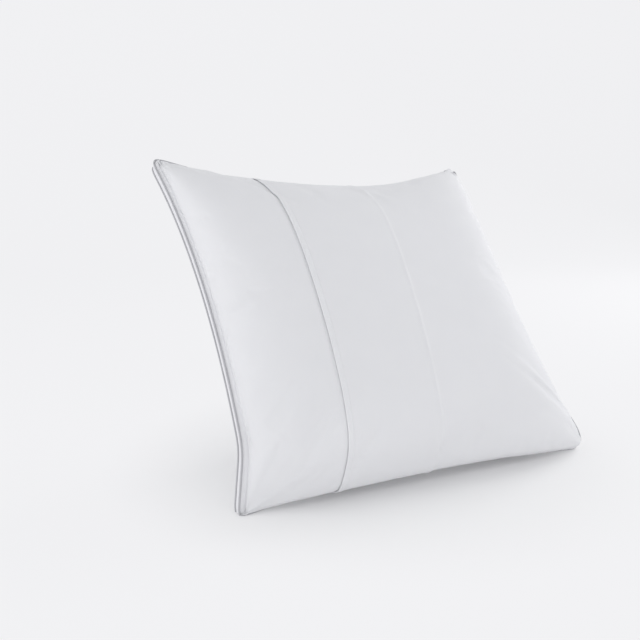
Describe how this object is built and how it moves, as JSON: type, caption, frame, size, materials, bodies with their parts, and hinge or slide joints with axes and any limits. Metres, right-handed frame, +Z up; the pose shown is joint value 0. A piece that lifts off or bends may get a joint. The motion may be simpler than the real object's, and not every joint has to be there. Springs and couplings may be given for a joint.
{
  "type": "bed pillow",
  "caption": "Square gusseted bed pillow with piped edges and an overlapping opening up its front, leaning back on its slumped lower edge.",
  "frame": {"origin": "on the floor, in the flat sole of the slumped foot, midway between the two bottom corners of the front and 135 mm behind the front seam line", "axes": "+X to the pillow's right along its bottom edge, -Y out of its front, +Z up; the floor is z = 0"},
  "size_m": [0.6442, 0.4664, 0.4938],
  "materials": {
    "cover_cloth": "white cotton percale, fine plain weave, matt",
    "band_cloth": "white cotton percale, matt",
    "piping_satin": "silver grey satin tape, soft sheen",
    "piping_cord": "twisted cotton cord",
    "case_cloth": "white ticking, close plain weave",
    "filling": "loose white fill",
    "label_tape": "blank white satin tape"
  },
  "bodies": {
    "root": {"front_underlap_panel": "cover_cloth", "front_overlap_panel": "cover_cloth", "back_panel": "cover_cloth", "gusset_band": "band_cloth", "front_piping_cover": "piping_satin", "front_piping_cord": "piping_cord", "back_piping_cover": "piping_satin", "back_piping_cord": "piping_cord", "inner_case_front": "case_cloth", "inner_case_back": "case_cloth", "fill": "filling", "care_label": "label_tape"}
  },
  "joints": []
}
